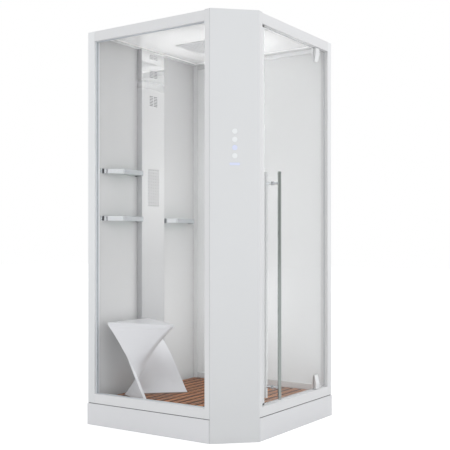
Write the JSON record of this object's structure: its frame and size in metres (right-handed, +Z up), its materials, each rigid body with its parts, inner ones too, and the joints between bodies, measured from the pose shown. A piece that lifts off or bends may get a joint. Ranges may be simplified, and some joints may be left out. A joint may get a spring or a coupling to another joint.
{
  "type": "shower cabin",
  "caption": "Corner steam shower cabin with a cut-off control column, fixed glass pane, pivoting glass door, service column with body jets, overhead rain plate, slatted floor and twisted stool.",
  "frame": {"origin": "on the floor, at the centre of the square plan of the tray before its corner is cut off", "axes": "+X to the door side, +Y to the back wall, +Z up; the cut-off control column is at +X, -Y"},
  "size_m": [1.0265, 1, 2.17],
  "materials": {
    "frame_white": "satin white powder coat on extruded aluminium",
    "tray_white": "glossy white acrylic",
    "column_white": "smooth white gloss panel",
    "service_white": "glossy white acrylic shell",
    "ceiling_white": "glossy white acrylic",
    "stool_white": "moulded satin white",
    "wall_grey": "pale grey back-painted gloss",
    "wall_pale": "very pale grey back-painted gloss",
    "clear_glass": "clear toughened glass",
    "shelf_glass": "frosted shelf glass",
    "gasket_grey": "pale blue-grey rubber",
    "seal_dark": "dark matt rubber",
    "seal_clear": "translucent soft plastic",
    "dark_plastic": "matt dark grey plastic",
    "trap_plastic": "matt white polypropylene",
    "nozzle_grey": "grey silicone",
    "chrome": "polished chrome",
    "steel": "satin brushed steel",
    "galvanised": "dull zinc coated sheet",
    "trim_aluminium": "satin anodised",
    "brass": "cast brass",
    "copper": "drawn copper tube",
    "wood": "oiled hardwood",
    "touch_light": "backlit pale blue-white symbols",
    "light_diffuser": "opal light diffuser"
  },
  "bodies": {
    "cabin": {"shower_tray": "tray_white", "tray_feet": "dark_plastic", "waste_trap": "trap_plastic", "drain_cover": "chrome", "base_seal": "seal_dark", "sill_front": "frame_white", "sill_door": "frame_white", "sill_left": "frame_white", "sill_back": "frame_white", "head_front": "frame_white", "head_door": "frame_white", "head_left": "frame_white", "head_back": "frame_white", "post_front_left": "frame_white", "post_back_left": "frame_white", "post_back_right": "frame_white", "fixed_glass": "clear_glass", "glass_gasket": "gasket_grey", "column_panel": "column_white", "column_stile_front": "frame_white", "column_stile_door": "frame_white", "column_inner_panel": "wall_grey", "column_cap": "frame_white", "strike_seal": "seal_dark", "touch_lights": "touch_light", "control_box": "dark_plastic", "mixer_body": "brass", "mixer_plate": "chrome", "wall_panel_front": "wall_grey", "wall_panel_rear": "wall_grey", "wall_panel_back": "wall_pale", "wall_trims": "trim_aluminium", "corner_profile": "trim_aluminium", "service_cover": "service_white", "service_back": "galvanised", "jet_nozzles": "nozzle_grey", "jet_manifold": "dark_plastic", "speaker": "dark_plastic", "steam_generator": "steel", "steam_outlet": "chrome", "water_pipes": "copper", "shelf_rails": "chrome", "shelf_plates": "shelf_glass", "ceiling": "ceiling_white", "light_strips": "light_diffuser", "rain_plate": "steel", "rain_nozzles": "nozzle_grey", "pivot_pins": "steel"},
    "door": {"door_glass": "clear_glass", "door_edge": "trim_aluminium", "door_seals": "seal_dark", "door_sweep": "seal_clear", "hinge_clamps": "steel", "handle_bars": "chrome", "handle_standoffs": "chrome"},
    "temperature_knob": {"knob_temperature": "chrome"},
    "flow_knob": {"knob_flow": "chrome"},
    "slatted_floor": {"duck_slats": "wood", "duck_bearers": "wood"},
    "stool": {"stool": "stool_white"}
  },
  "joints": [
    {"name": "door_hinge", "type": "hinge", "parent": "cabin", "child": "door", "pos_m": [0.474, 0.338, 0], "axis": [0, 0, 1], "range_deg": [0, 90]},
    {"name": "temperature_turn", "type": "hinge", "parent": "cabin", "child": "temperature_knob", "pos_m": [0.36453, -0.36453, 1.16], "axis": [-0.7071, 0.7071, 0], "range_deg": [-110, 110]},
    {"name": "flow_turn", "type": "hinge", "parent": "cabin", "child": "flow_knob", "pos_m": [0.36453, -0.36453, 1.04], "axis": [-0.7071, 0.7071, 0], "range_deg": [0, 180]},
    {"name": "floor_lift", "type": "slide", "parent": "cabin", "child": "slatted_floor", "axis": [0, 0, 1], "range_m": [0, 0.025]},
    {"name": "stool_lift", "type": "slide", "parent": "slatted_floor", "child": "stool", "axis": [0, 0, 1], "range_m": [0, 0.25]}
  ]
}
